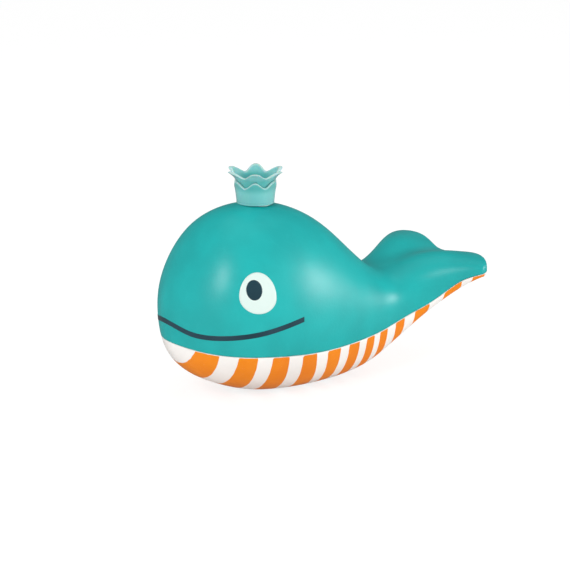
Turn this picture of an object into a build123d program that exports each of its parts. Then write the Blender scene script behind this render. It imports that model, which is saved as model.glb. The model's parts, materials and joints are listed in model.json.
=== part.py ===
from build123d import *
import os
from math import copysign, cos, exp, pi, sin

os.makedirs("parts", exist_ok=True)

# A hollow whale for the bath, in millimetres. X runs from the nose (-X) to the tail (+X), Y across,
# and Z up from the flat patch on the belly that it rests on. Squeezing the belly sends water up the
# dip tube and out of the crown on its head.

# Four lines shape the body. Seen from the side they are the back, the belly and the widest line
# between them, as (x, z). Seen from above it is the half width, as (x, y). All start at the nose.
nose_x = -87.6
nose_z = 46.0
back_points = [
    (-85.2, 59.8), (-76.7, 77.0), (-63.0, 92.2), (-46.5, 98.4), (-26.0, 97.8), (-2.5, 87.8),
    (23.5, 64.2), (36.0, 56.4), (48.0, 57.8), (60.0, 60.6), (70.0, 61.0), (80.0, 59.8), (94.0, 57.0),
]
belly_points = [
    (-85.2, 26.6), (-76.7, 15.2), (-63.0, 7.2), (-46.5, 1.6), (-26.0, -0.8), (-2.5, -0.8),
    (23.5, 4.0), (36.0, 11.8), (48.0, 22.0), (60.0, 33.6), (70.0, 43.0), (80.0, 50.6), (94.0, 54.6),
]
width_points = [
    (-85.2, 12.8), (-76.7, 28.0), (-63.0, 37.8), (-46.5, 41.6), (-26.0, 42.0), (-2.5, 37.4),
    (23.5, 30.2), (36.0, 27.2), (48.0, 28.0), (60.0, 33.4), (70.0, 39.8), (80.0, 45.2), (94.0, 47.5),
]
widest_points = [
    (-60.0, 43.0), (-26.0, 38.5), (5.0, 35.5), (30.0, 36.0), (48.0, 40.5), (60.0, 47.5),
    (70.0, 54.0), (80.0, 57.0), (94.0, 56.3),
]
head_middle_x = -46.5
loft_end_x = 92.0
section_count = 26
inner_count = 16
section_steps = 24

# Sections are nearly elliptical at the head and squarer at the tail, whose top is dished.
head_fullness = 2.1
tail_fullness = 2.8
fullness_from, fullness_to = 10.0, 50.0
dish_depth = 5.2
dish_from, dish_to = 36.0, 66.0
dish_share = 0.42

# Flukes, seen from above: two rounded lobes with a shallow notch between them.
fluke_tip_x, fluke_tip_y = 77.0, 48.0
fluke_tip_slope = 0.5
lobe_x, lobe_y = 87.6, 26.0
notch_x = 84.0
fluke_lead_x = 66.0
fluke_edge_radius = 2.4

# Shell walls, thicker in the head and the tail than at the waist, and the seam between the shells.
head_wall, waist_wall, tail_wall = 3.0, 2.4, 4.5
waist_from, waist_to = 0.0, 30.0
cavity_end_x = 66.0
seam_points = [
    (-95.0, 34.6), (-80.0, 31.0), (-60.0, 28.7), (-35.0, 26.9), (-8.0, 26.0), (13.0, 27.0),
    (31.0, 29.8), (46.0, 35.3), (54.0, 39.6), (62.0, 46.4), (69.0, 52.4), (77.0, 55.6), (96.0, 57.0),
]
seam_gap = 0.4

# Printed patches: how thick each is, and the air round it.
ink_depth = 0.5
ink_clearance = 0.05
ink_end_x = -18.0
eye_x, eye_z = -54.5, 59.6
eye_half_width = 9.4
eye_rise, eye_drop = 12.2, 8.1
eye_tilt = -8.0
pupil_x, pupil_z = -56.2, 63.4
pupil_half_width, pupil_half_height = 4.0, 4.95
mouth_points = [
    (-94.0, 46.6), (-87.6, 42.9), (-83.0, 40.0), (-76.0, 39.2), (-63.5, 40.0), (-52.0, 41.3),
    (-39.6, 43.7), (-29.6, 46.0),
]
mouth_width = 2.6

# Crown: a flared cup inside a short collar, both with a scalloped rim. Profile points are radius and
# height above the crown's foot.
crown_x = -34.7
crown_sink = 0.4
crown_seat_gap = 0.2
crown_recess_clearance = 0.3
peaks = 6
foot_radius = 9.8
foot_thickness = 1.3
cup_points = [
    (8.1, 0.0), (8.45, 4.0), (9.0, 8.0), (9.7, 11.0), (10.4, 12.5), (12.1, 14.6), (14.1, 16.2),
    (16.8, 17.6), (18.6, 18.3),
]
cup_wall = 1.2
cup_floor = 1.6
cup_rim_height, cup_rim_swing = 16.1, 1.5
collar_points = [(9.8, 1.3), (10.1, 4.0), (10.7, 8.0), (11.4, 11.0), (12.0, 13.0)]
collar_rim_height, collar_rim_swing = 10.75, 1.5
collar_gap = 0.3
wave_inner_radius, wave_outer_radius, wave_height = 7.0, 22.0, 15.0
wave_points_per_peak = 8
orifice_radius = 0.8
channel_radius = 1.5
stem_length = 9.5
shaft_clearance = 0.05
seal_radius = 0.75
seal_below_foot = 5.0

# Neck sleeve in the head, and the dip tube on its spigot.
bore_radius = 4.5
bore_depth = 10.6
sleeve_wall = 1.7
sleeve_floor = 2.0
flange_radius = 7.8
flange_thickness = 1.2
boss_wall = 2.3
boss_length = 10.4
spigot_radius = 2.4
spigot_length = 6.0
tube_wall = 1.1
tube_top_gap = 0.3
squeeze_travel = 8.0
tube_foot_clearance = 1.8
tube_notch = 2.0

reach = 140.0


# The body's lines, and the sections lofted between them.
back_line = Spline((nose_x, nose_z), *back_points, tangents=[(0, 1), (1, -0.2)])
belly_line = Spline((nose_x, nose_z), *belly_points, tangents=[(0, -1), (1, 0.2)])
width_line = Spline((nose_x, 0), *width_points, tangents=[(0, 1), (1, 0.1)])
widest_line = Spline((nose_x, nose_z), *widest_points)


def height_at(line, x):
    """The second coordinate of a body line at x, found by halving."""
    low, high = 0.0, 1.0
    for _ in range(32):
        middle = (low + high) / 2
        if (line @ middle).X < x:
            low = middle
        else:
            high = middle
    return (line @ low).Y


def eased(x, start, end):
    """A share that goes smoothly from 0 at start to 1 at end."""
    share = min(max((x - start) / (end - start), 0), 1)
    return share * share * (3 - 2 * share)


def section_points(x, half_width, top, bottom, widest):
    """Points round one closed section, from the top: a superellipse with its top dished."""
    fullness = head_fullness + (tail_fullness - head_fullness) * eased(x, fullness_from, fullness_to)
    dish = dish_depth * eased(x, dish_from, dish_to)
    points = []
    for step in range(section_steps):
        angle = 2 * pi * step / section_steps + pi / 2
        across = copysign(abs(cos(angle)) ** (2 / fullness), cos(angle))
        rise = abs(sin(angle)) ** (2 / fullness)
        if rise < 0.001:
            points.append((copysign(half_width, across), widest))
        elif sin(angle) > 0:
            hollow = dish * exp(-((across / dish_share) ** 2))
            points.append((half_width * across, widest + (top + dish - widest) * rise - hollow))
        else:
            points.append((half_width * across, widest - (widest - bottom) * rise))
    return points


def section_face(x, points):
    """One section of the body as a flat face across X."""
    with BuildSketch(Plane.YZ.offset(x)) as section:
        with BuildLine():
            Spline(*points, periodic=True)
        make_face()
    return section.sketch.face()


def station(index, count, start, end):
    """Stations that crowd towards the nose, where the body turns fastest."""
    share = index / count
    return start + (end - start) * share * share * (1.9 - 0.9 * share)


def whole_form():
    """The body's outer skin, run on a little past the end of the flukes."""
    sections = [Vertex(nose_x, 0, nose_z)]
    for index in range(1, section_count + 1):
        x = station(index, section_count, nose_x, loft_end_x)
        lines = [height_at(line, x) for line in (width_line, back_line, belly_line, widest_line)]
        sections.append(section_face(x, section_points(x, *lines)))
    with BuildPart() as form:
        loft(sections=sections)
    return form.part


def inner_form(head_inset, waist_inset, tail_inset, end_x):
    """The body's skin moved inwards by three insets, from the nose back to a flat end."""
    head_share = 1 - head_inset / (head_middle_x - nose_x)
    width_share = 1 - head_inset / height_at(width_line, head_middle_x)
    middle_z = height_at(widest_line, head_middle_x)
    top_share = 1 - head_inset / (height_at(back_line, head_middle_x) - middle_z)
    bottom_share = 1 - head_inset / (middle_z - height_at(belly_line, head_middle_x))
    sections = [Vertex(nose_x + head_inset, 0, nose_z)]
    for index in range(1, inner_count + 1):
        x = station(index, inner_count, nose_x, end_x)
        half_width, top, bottom, widest = (
            height_at(line, x) for line in (width_line, back_line, belly_line, widest_line))
        place = x
        if x < head_middle_x:
            place = head_middle_x + (x - head_middle_x) * head_share
            half_width *= width_share
            top = widest + (top - widest) * top_share
            bottom = widest - (widest - bottom) * bottom_share
        else:
            inset = head_inset + (waist_inset - head_inset) * eased(x, head_middle_x, waist_from)
            inset += (tail_inset - waist_inset) * eased(x, waist_to, cavity_end_x)
            half_width -= inset
            top -= inset
            bottom += inset
        sections.append(section_face(place, section_points(place, half_width, top, bottom, widest)))
    with BuildPart() as form:
        loft(sections=sections)
    return form.part


def below_seam(drop):
    """Everything under the seam line, lowered by drop."""
    points = [(x, z - drop) for x, z in seam_points]
    with BuildPart() as lower:
        with BuildSketch(Plane.XZ):
            with BuildLine():
                seam = Spline(*points)
                Polyline(seam @ 1, (reach, -reach), (-reach, -reach), seam @ 0)
            make_face()
        extrude(amount=reach, both=True)
    return lower.part


# The outer form: the loft, with the flukes trimmed to their plan, the edge rounded, and a flat patch
# to rest on where the belly meets the ground.
with BuildPart() as fluke_plan:
    with BuildSketch():
        with BuildLine():
            Spline((fluke_tip_x, -fluke_tip_y), (lobe_x, -lobe_y), tangents=[(1, fluke_tip_slope), (0, 1)])
            Spline((lobe_x, -lobe_y), (notch_x, 0), tangents=[(0, 1), (0, 1)])
            Spline((notch_x, 0), (lobe_x, lobe_y), tangents=[(0, 1), (0, 1)])
            Spline((lobe_x, lobe_y), (fluke_tip_x, fluke_tip_y), tangents=[(0, 1), (-1, fluke_tip_slope)])
            Polyline(
                (fluke_tip_x, fluke_tip_y), (fluke_lead_x, fluke_tip_y + 2), (fluke_lead_x, reach),
                (-reach, reach), (-reach, -reach), (fluke_lead_x, -reach),
                (fluke_lead_x, -fluke_tip_y - 2), (fluke_tip_x, -fluke_tip_y))
        make_face()
    extrude(amount=reach)

with BuildPart() as outer_form:
    add(whole_form())
    add(fluke_plan.part, mode=Mode.INTERSECT)
    rear_edges = outer_form.edges().filter_by(lambda edge: edge.center().X > fluke_lead_x)
    fillet(rear_edges, radius=fluke_edge_radius)

pocket_depth = ink_depth + ink_clearance
cavity_form = inner_form(head_wall, waist_wall, tail_wall, cavity_end_x)
ink_floor_form = inner_form(ink_depth, ink_depth, ink_depth, ink_end_x)
pocket_floor_form = inner_form(pocket_depth, pocket_depth, pocket_depth, ink_end_x)

crown_top_z = height_at(back_line, crown_x)
seat_z = crown_top_z - crown_sink
crown_z = seat_z + crown_seat_gap
sleeve_radius = bore_radius + sleeve_wall
stem_radius = bore_radius - shaft_clearance
groove_radius = stem_radius - 2 * seal_radius
boss_radius = sleeve_radius + boss_wall
tube_radius = spigot_radius + shaft_clearance + tube_wall


def crown_plane(z):
    """A level plane on the crown's axis."""
    return Plane(origin=(crown_x, 0, z))


def crown_side(z):
    """An upright plane through the crown's axis, x outwards and y up."""
    return Plane(origin=(crown_x, 0, z), x_dir=(1, 0, 0), z_dir=(0, -1, 0))


crown_axis = Axis((crown_x, 0, 0), (0, 0, 1))


def above_wave(height, swing):
    """Everything above a rim that rises and falls with each peak round the crown's axis."""
    steps = peaks * wave_points_per_peak
    loops = []
    for radius in (wave_inner_radius, wave_outer_radius):
        points = []
        for step in range(steps):
            angle = 2 * pi * step / steps
            z = crown_z + height + swing * cos(peaks * angle)
            points.append((crown_x + radius * cos(angle), radius * sin(angle), z))
        loops.append(Spline(*points, periodic=True).edge())
    wave = Face.make_surface_from_curves(loops[0], loops[1])
    return extrude(wave, amount=wave_height, dir=(0, 0, 1))


def beside(line, distance, count=12):
    """Points at a distance to the left of a profile line."""
    points = []
    for step in range(count + 1):
        share = step / count
        point = line @ share
        along = line % share
        points.append((point.X - along.Y * distance, point.Y + along.X * distance))
    return points


def beside_head(x, z, side):
    """A plane out beside the head, turned by the tilt of the eyes and facing -Y."""
    tilt = eye_tilt * pi / 180
    return Plane(origin=(x, side * reach, z), x_dir=(cos(tilt), 0, sin(tilt)), z_dir=(0, -1, 0))


def eye_prism(side, margin):
    """The egg outline of an eye, run inwards from outside its side of the head."""
    half_width = eye_half_width + margin
    with BuildPart() as prism:
        with BuildSketch(beside_head(eye_x, eye_z, side)):
            with BuildLine():
                EllipticalCenterArc((0, 0), half_width, eye_rise + margin, 0, arc_size=180)
                EllipticalCenterArc((0, 0), half_width, eye_drop + margin, 180, arc_size=180)
            make_face()
        extrude(amount=side * reach)
    return prism.part


def pupil_prism(side, margin):
    """The oval of a pupil, run inwards from outside its side of the head."""
    with BuildPart() as prism:
        with BuildSketch(beside_head(pupil_x, pupil_z, side)):
            Ellipse(pupil_half_width + margin, pupil_half_height + margin)
        extrude(amount=side * reach)
    return prism.part


def mouth_prism(margin):
    """The band of the mouth, run inwards from beside the left cheek to the middle plane."""
    with BuildPart() as prism:
        with BuildSketch(Plane.XZ.offset(reach)):
            with BuildLine() as line:
                Spline(*mouth_points)
            trace(line.line, line_width=mouth_width + 2 * margin)
        extrude(amount=-reach)
    return prism.part


# Belly: the white lower shell, open at the seam.
with BuildPart() as belly_shell:
    add(outer_form.part)
    add(below_seam(seam_gap), mode=Mode.INTERSECT)
    add(cavity_form, mode=Mode.SUBTRACT)

# Back: the teal upper shell, with the flukes, the boss for the neck sleeve and a seat for the crown.
with BuildPart() as back_shell:
    add(outer_form.part)
    add(below_seam(0), mode=Mode.SUBTRACT)
    add(cavity_form, mode=Mode.SUBTRACT)
    with BuildSketch(crown_plane(seat_z - boss_length)):
        Circle(boss_radius)
    extrude(amount=boss_length - head_wall / 2)
    with BuildSketch(crown_plane(seat_z)):
        Circle(foot_radius + crown_recess_clearance)
    extrude(amount=crown_sink + 2, mode=Mode.SUBTRACT)
    with BuildSketch(crown_plane(seat_z)):
        Circle(flange_radius + shaft_clearance)
    extrude(amount=-flange_thickness - shaft_clearance, mode=Mode.SUBTRACT)
    with BuildSketch(crown_plane(seat_z)):
        Circle(sleeve_radius + shaft_clearance)
    extrude(amount=-boss_length - 2, mode=Mode.SUBTRACT)

# Neck sleeve: the hard bush that the crown's stem slides in.
with BuildPart() as neck_sleeve:
    with BuildSketch(crown_plane(seat_z)):
        Circle(flange_radius)
    extrude(amount=-flange_thickness)
    with BuildSketch(crown_plane(seat_z)):
        Circle(sleeve_radius)
    extrude(amount=-bore_depth - sleeve_floor)
    with BuildSketch(crown_plane(seat_z - bore_depth - sleeve_floor)):
        Circle(spigot_radius)
    extrude(amount=-spigot_length)
    with BuildSketch(crown_plane(seat_z)):
        Circle(bore_radius)
    extrude(amount=-bore_depth, mode=Mode.SUBTRACT)
    with BuildSketch(crown_plane(seat_z - bore_depth)):
        Circle(channel_radius)
    extrude(amount=-sleeve_floor - spigot_length, mode=Mode.SUBTRACT)
    chamfer(neck_sleeve.edges().sort_by(Axis.Z)[:2], length=0.3)

# Dip tube: the soft tube on the spigot, open at its foot by two notches.
tube_top_z = seat_z - bore_depth - sleeve_floor - tube_top_gap
tube_foot_z = height_at(belly_line, crown_x) + head_wall + squeeze_travel + tube_foot_clearance
with BuildPart() as dip_tube:
    with BuildSketch(crown_plane(tube_foot_z)):
        Circle(tube_radius)
        Circle(tube_radius - tube_wall, mode=Mode.SUBTRACT)
    extrude(amount=tube_top_z - tube_foot_z)
    with Locations((crown_x, 0, tube_foot_z)):
        Box(3 * tube_radius, tube_notch, 2 * tube_notch, mode=Mode.SUBTRACT)

# Cup of the crown: a trumpet with a floor, a foot, an orifice and the stem below.
with BuildPart() as crown_cup:
    with BuildSketch(crown_side(crown_z)):
        with BuildLine():
            flare = Spline(*cup_points)
            inner_flare = Spline(*beside(flare, cup_wall))
            Line(flare @ 1, inner_flare @ 1)
            Polyline(inner_flare @ 0, (0, (inner_flare @ 0).Y), (0, 0), flare @ 0)
        make_face()
    revolve(axis=crown_axis)
    with BuildSketch(crown_plane(crown_z)):
        Circle(foot_radius)
    extrude(amount=foot_thickness)
    add(above_wave(cup_rim_height, cup_rim_swing), mode=Mode.SUBTRACT)
    with BuildSketch(crown_plane(crown_z)):
        Circle((inner_flare @ 0).X)
    extrude(amount=cup_floor)
    with BuildSketch(crown_plane(crown_z)):
        Circle(stem_radius)
    extrude(amount=-stem_length)
    with BuildSketch(crown_plane(crown_z - seal_below_foot - seal_radius - shaft_clearance)):
        Circle(stem_radius)
        Circle(groove_radius, mode=Mode.SUBTRACT)
    extrude(amount=2 * (seal_radius + shaft_clearance), mode=Mode.SUBTRACT)
    with BuildSketch(crown_plane(crown_z - stem_length)):
        Circle(channel_radius)
    extrude(amount=stem_length, mode=Mode.SUBTRACT)
    with BuildSketch(crown_plane(crown_z)):
        Circle(orifice_radius)
    extrude(amount=cup_floor, mode=Mode.SUBTRACT)

# Collar of the crown: the outer scalloped ring, standing on the cup's foot.
with BuildPart() as crown_collar:
    with BuildSketch(crown_side(crown_z)):
        with BuildLine():
            collar_line = Spline(*collar_points)
            Polyline(collar_line @ 0, (0, collar_points[0][1]), (0, collar_points[-1][1]), collar_line @ 1)
        make_face()
    revolve(axis=crown_axis)
    with BuildSketch(crown_side(crown_z)):
        with BuildLine():
            clear_line = Spline(*[(r + collar_gap, z) for r, z in cup_points])
            Polyline(clear_line @ 1, (0, cup_points[-1][1]), (0, 0), clear_line @ 0)
        make_face()
    revolve(axis=crown_axis, mode=Mode.SUBTRACT)
    add(above_wave(collar_rim_height, collar_rim_swing), mode=Mode.SUBTRACT)

# Seal: the ring in the groove of the stem.
with BuildPart() as crown_seal:
    with BuildSketch(crown_side(crown_z - seal_below_foot)):
        with Locations((stem_radius - seal_radius, 0)):
            Circle(seal_radius)
    revolve(axis=crown_axis)

# Eyes: a white egg with the pupil let into it, one on each side, each in a shallow pocket.
eyes = {}
for name, side in (("left", -1), ("right", 1)):
    with BuildPart() as eye_white:
        add(eye_prism(side, 0))
        add(pupil_prism(side, ink_clearance), mode=Mode.SUBTRACT)
        add(ink_floor_form, mode=Mode.SUBTRACT)
        add(outer_form.part, mode=Mode.INTERSECT)
    with BuildPart() as pupil:
        add(pupil_prism(side, 0))
        add(ink_floor_form, mode=Mode.SUBTRACT)
        add(outer_form.part, mode=Mode.INTERSECT)
    with BuildPart() as eye_pocket:
        add(eye_prism(side, ink_clearance))
        add(pocket_floor_form, mode=Mode.SUBTRACT)
    with back_shell:
        add(eye_pocket.part, mode=Mode.SUBTRACT)
    eyes[name + "_eye_white"] = eye_white.part
    eyes[name + "_pupil"] = pupil.part

# Mouth: one dark line from cheek to cheek round the nose, in a shallow groove.
with BuildPart() as mouth_half:
    add(mouth_prism(0))
    add(ink_floor_form, mode=Mode.SUBTRACT)
    add(outer_form.part, mode=Mode.INTERSECT)

with BuildPart() as mouth_line:
    add(mouth_half.part)
    add(mouth_half.part.mirror(Plane.XZ), clean=False)

with BuildPart() as groove_half:
    add(mouth_prism(ink_clearance))
    add(pocket_floor_form, mode=Mode.SUBTRACT)

with back_shell:
    add(groove_half.part, mode=Mode.SUBTRACT)
    add(groove_half.part.mirror(Plane.XZ), mode=Mode.SUBTRACT)

parts = {
    "back_shell": back_shell.part,
    "belly_shell": belly_shell.part,
    "neck_sleeve": neck_sleeve.part,
    "dip_tube": dip_tube.part,
    "crown_cup": crown_cup.part,
    "crown_collar": crown_collar.part,
    "crown_seal": crown_seal.part,
    "mouth_line": mouth_line.part,
    **eyes,
}
for name, part in parts.items():
    part.label = name
    export_step(part, f"parts/{name}.step")
    print(name, len(part.solids()), part.is_valid, round(part.volume), part.bounding_box().size)
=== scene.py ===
"""A whale for the bath that squirts water from its crown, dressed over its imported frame."""

from __future__ import annotations

import json
import logging
import math
from dataclasses import dataclass, field
from enum import Enum

import bmesh
import bpy
import numpy as np
from mathutils import Matrix, Vector

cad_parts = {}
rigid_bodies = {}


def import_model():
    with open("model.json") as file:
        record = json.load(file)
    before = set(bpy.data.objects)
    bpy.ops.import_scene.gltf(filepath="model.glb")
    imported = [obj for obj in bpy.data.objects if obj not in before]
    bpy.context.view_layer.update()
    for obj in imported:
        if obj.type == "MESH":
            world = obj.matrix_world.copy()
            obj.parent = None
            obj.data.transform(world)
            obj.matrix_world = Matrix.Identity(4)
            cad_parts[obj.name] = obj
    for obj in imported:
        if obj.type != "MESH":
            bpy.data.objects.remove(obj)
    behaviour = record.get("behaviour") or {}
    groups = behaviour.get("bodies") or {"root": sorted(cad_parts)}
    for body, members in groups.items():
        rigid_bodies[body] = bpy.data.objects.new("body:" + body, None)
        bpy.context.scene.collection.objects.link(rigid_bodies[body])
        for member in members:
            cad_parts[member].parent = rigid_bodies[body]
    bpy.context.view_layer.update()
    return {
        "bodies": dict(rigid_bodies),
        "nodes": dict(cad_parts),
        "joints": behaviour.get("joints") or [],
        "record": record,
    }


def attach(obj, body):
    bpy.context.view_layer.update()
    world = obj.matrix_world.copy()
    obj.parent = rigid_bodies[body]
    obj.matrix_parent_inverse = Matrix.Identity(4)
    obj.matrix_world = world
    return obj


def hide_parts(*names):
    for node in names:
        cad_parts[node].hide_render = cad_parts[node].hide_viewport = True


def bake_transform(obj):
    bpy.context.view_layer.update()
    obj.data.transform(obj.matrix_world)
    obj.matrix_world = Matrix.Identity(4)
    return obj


log = logging.getLogger("whale")

MM = 0.001
Pair = tuple[float, float]
Pairs = tuple[Pair, ...]
Quads = list[tuple[int, int, int, int]]


class Tint(Enum):
    """Colours of the toy and its surroundings, linear."""

    TEAL = (0.008, 0.43, 0.42)
    TEAL_DEEP = (0.005, 0.37, 0.365)
    TEAL_PALE = (0.02, 0.50, 0.49)
    BELLY_WHITE = (0.93, 0.90, 0.87)
    BELLY_SHADE = (0.87, 0.84, 0.81)
    STRIPE_ORANGE = (0.90, 0.255, 0.004)
    STRIPE_DEEP = (0.85, 0.22, 0.003)
    CROWN_TEAL = (0.24, 0.74, 0.73)
    # Painted shade: the crown's darker colour in the band where cup and collar stand together.
    CROWN_PAINTED_SHADE = (0.045, 0.50, 0.48)
    # Painted highlight: the crown's colour at its rim and seen edge on; also the colour that its wear goes
    # to.
    CROWN_HIGHLIGHT_AND_WEAR = (0.72, 0.97, 0.95)
    EYE_WHITE = (0.68, 0.81, 0.76)
    INK_SLATE = (0.010, 0.042, 0.060)
    INK_BLUE = (0.018, 0.062, 0.088)
    SLEEVE_WHITE = (0.78, 0.8, 0.79)
    TUBE_MILK = (0.68, 0.73, 0.73)
    SEAL_BLACK = (0.02, 0.02, 0.022)
    FLOOR = (0.93, 0.93, 0.93)


class Side(Enum):
    """The two sides of the whale, as the sign of Y."""

    LEFT = -1
    RIGHT = 1


# Shader building


@dataclass
class Graph:
    """A node tree with short ways to add and join nodes."""

    tree: bpy.types.NodeTree

    @classmethod
    def fresh(cls, owner: bpy.types.ID) -> Graph:
        """Empties the node tree of a material or world and starts a graph in it.

        Args:
            owner: the material or world.

        Returns:
            The graph over its empty tree.
        """
        owner.use_nodes = True
        owner.node_tree.nodes.clear()
        return cls(owner.node_tree)

    def add(self, kind: str, **settings: object) -> bpy.types.Node:
        """Adds a node and sets its properties.

        Args:
            kind: the node's Blender type.
            settings: properties to set on the node.

        Returns:
            The new node.
        """
        node = self.tree.nodes.new(kind)
        for name, value in settings.items():
            setattr(node, name, value)
        return node

    def join(self, source: bpy.types.NodeSocket, target: bpy.types.NodeSocket) -> None:
        """Links one socket to another."""
        self.tree.links.new(source, target)

    def maths(self, how: str, *values: object, clamp: bool = False) -> bpy.types.NodeSocket:
        """Adds a Math node.

        Args:
            how: the operation.
            values: sockets or numbers for its inputs.
            clamp: whether the result is kept between 0 and 1.

        Returns:
            The result's socket.
        """
        node = self.add("ShaderNodeMath", operation=how, use_clamp=clamp)
        for slot, value in zip(node.inputs, values):
            if isinstance(value, bpy.types.NodeSocket):
                self.join(value, slot)
            else:
                slot.default_value = value
        return node.outputs[0]

    def noise(self, place: bpy.types.NodeSocket, scale: object, detail: float = 3.0) -> bpy.types.NodeSocket:
        """Adds a noise texture.

        Args:
            place: coordinates.
            scale: features per metre, a number or a socket.
            detail: octaves.

        Returns:
            The noise value's socket.
        """
        node = self.add("ShaderNodeTexNoise")
        self.join(place, node.inputs["Vector"])
        if isinstance(scale, bpy.types.NodeSocket):
            self.join(scale, node.inputs["Scale"])
        else:
            node.inputs["Scale"].default_value = scale
        node.inputs["Detail"].default_value = detail
        return node.outputs["Fac"]

    def between(self, value: bpy.types.NodeSocket, low: float, high: float) -> bpy.types.NodeSocket:
        """Maps low..high smoothly onto 0..1.

        Args:
            value: the number to map.
            low: where the result is 0.
            high: where the result is 1.

        Returns:
            The mapped value's socket.
        """
        node = self.add("ShaderNodeMapRange", interpolation_type="SMOOTHSTEP")
        self.join(value, node.inputs["Value"])
        node.inputs["From Min"].default_value = low
        node.inputs["From Max"].default_value = high
        return node.outputs["Result"]

    def mix(self, share: object, first: object, second: object) -> bpy.types.NodeSocket:
        """Mixes two colours.

        Args:
            share: how much of the second, a number or a socket.
            first: colour or socket.
            second: colour or socket.

        Returns:
            The mixed colour's socket.
        """
        node = self.add("ShaderNodeMix", data_type="RGBA")
        for name, value in (("Factor", share), ("A", first), ("B", second)):
            slot = [s for s in node.inputs if s.name == name and s.enabled][0]
            if isinstance(value, bpy.types.NodeSocket):
                self.join(value, slot)
            elif name == "Factor":
                slot.default_value = value
            else:
                slot.default_value = (*value, 1.0)
        return [s for s in node.outputs if s.enabled][0]


def new_group(
    name: str, inputs: dict[str, float], output: str,
) -> tuple[Graph, bpy.types.Node, bpy.types.NodeSocket]:
    """Starts a shader node group that puts out one number.

    Args:
        name: the group's name.
        inputs: float inputs with their defaults; a Place vector input is added first.
        output: the name of its output.

    Returns:
        The group's graph, its input node and the socket that its result goes to.
    """
    tree = bpy.data.node_groups.new(name, "ShaderNodeTree")
    tree.interface.new_socket("Place", in_out="INPUT", socket_type="NodeSocketVector")
    for label, value in inputs.items():
        socket = tree.interface.new_socket(label, in_out="INPUT", socket_type="NodeSocketFloat")
        socket.default_value = value
    tree.interface.new_socket(output, in_out="OUTPUT", socket_type="NodeSocketFloat")
    g = Graph(tree)
    start = g.add("NodeGroupInput")
    return g, start, g.add("NodeGroupOutput").inputs[output]


class Effects:
    """Surface effects that several finishes share."""

    def __init__(self) -> None:
        """Builds the groups once."""
        self.grain = self._moulded_grain()
        self.drift = self._tone_drift()
        self.wear = self._handling_wear()

    @staticmethod
    def _moulded_grain() -> bpy.types.NodeTree:
        """The fine texture that a mould leaves, over a slight long wave.

        Returns:
            A group with a Height output.
        """
        g, start, height = new_group(
            "moulded_grain", {"Grain": 900.0, "Wave": 60.0, "Wave share": 0.6}, "Height")
        fine = g.noise(start.outputs["Place"], start.outputs["Grain"], 4.0)
        wave = g.noise(start.outputs["Place"], start.outputs["Wave"], 2.0)
        long_wave = g.maths("MULTIPLY", wave, start.outputs["Wave share"])
        g.join(g.maths("ADD", fine, long_wave), height)
        return g.tree

    @staticmethod
    def _tone_drift() -> bpy.types.NodeTree:
        """Slow change of tone over a moulding, with faint cloudy flow marks.

        Returns:
            A group with a Tone output from 0 to 1.
        """
        g, start, tone = new_group("tone_drift", {"Size": 22.0, "Flow": 90.0}, "Tone")
        broad = g.noise(start.outputs["Place"], start.outputs["Size"], 2.0)
        flow = g.noise(start.outputs["Place"], start.outputs["Flow"], 5.0)
        both = g.maths("ADD", g.maths("MULTIPLY", broad, 0.7), g.maths("MULTIPLY", flow, 0.3))
        g.join(g.between(both, 0.34, 0.66), tone)
        return g.tree

    @staticmethod
    def _handling_wear() -> bpy.types.NodeTree:
        """Small rubbed spots and hairline scuffs from hands, tiles and other toys.

        Returns:
            A group with a Mask output from 0 to 1.
        """
        g, start, mask = new_group("handling_wear", {"Spots": 240.0, "Amount": 0.5}, "Mask")
        spots = g.between(g.noise(start.outputs["Place"], start.outputs["Spots"], 6.0), 0.60, 0.74)
        streak = g.add("ShaderNodeTexWave", wave_type="BANDS", bands_direction="DIAGONAL")
        g.join(start.outputs["Place"], streak.inputs["Vector"])
        for label, value in (("Scale", 55.0), ("Distortion", 14.0), ("Detail", 4.0)):
            streak.inputs[label].default_value = value
        hair = g.between(streak.outputs["Fac"], 0.985, 1.0)
        both = g.maths("MAXIMUM", spots, hair)
        g.join(g.maths("MULTIPLY", both, start.outputs["Amount"], clamp=True), mask)
        return g.tree


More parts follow.
